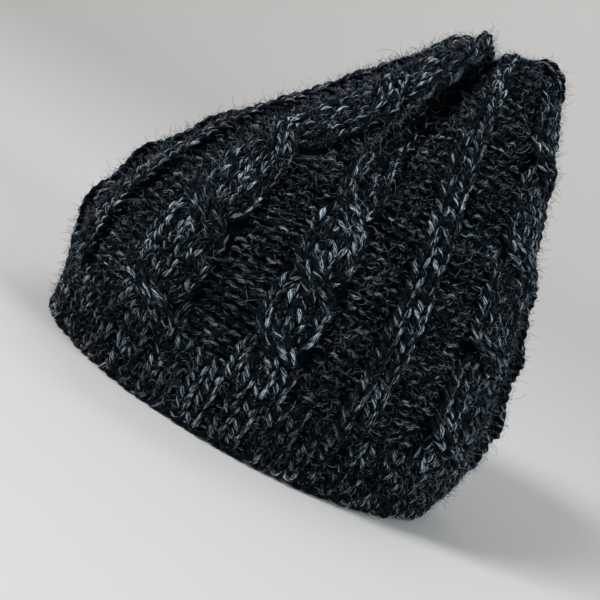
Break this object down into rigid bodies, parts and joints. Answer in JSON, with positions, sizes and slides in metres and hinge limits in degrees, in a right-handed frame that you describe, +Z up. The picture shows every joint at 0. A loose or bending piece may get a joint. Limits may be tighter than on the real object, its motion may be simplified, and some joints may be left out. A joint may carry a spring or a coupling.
{
  "type": "cable-knit beanie",
  "caption": "Hollow cable-knit beanie with a narrow ribbed brim, and a crown drawn in at the top into soft corners with deep creases between them.",
  "frame": {"origin": "on the rim's plane, under the middle of the hat's box", "axes": "+Z up from the rim, -Y towards the forehead, +Y towards the nape, +X towards the wearer's left ear"},
  "size_m": [0.175, 0.2171, 0.2054],
  "materials": {
    "ribbed_yarn": "marled dark blue-grey wool yarn in knit two purl one ribbing, with a soft fuzz",
    "cabled_yarn": "marled dark blue-grey wool yarn in rope cables, ribs and purl ground, with a soft fuzz"
  },
  "bodies": {
    "root": {"brim_band": "ribbed_yarn", "crown": "cabled_yarn"}
  },
  "joints": []
}
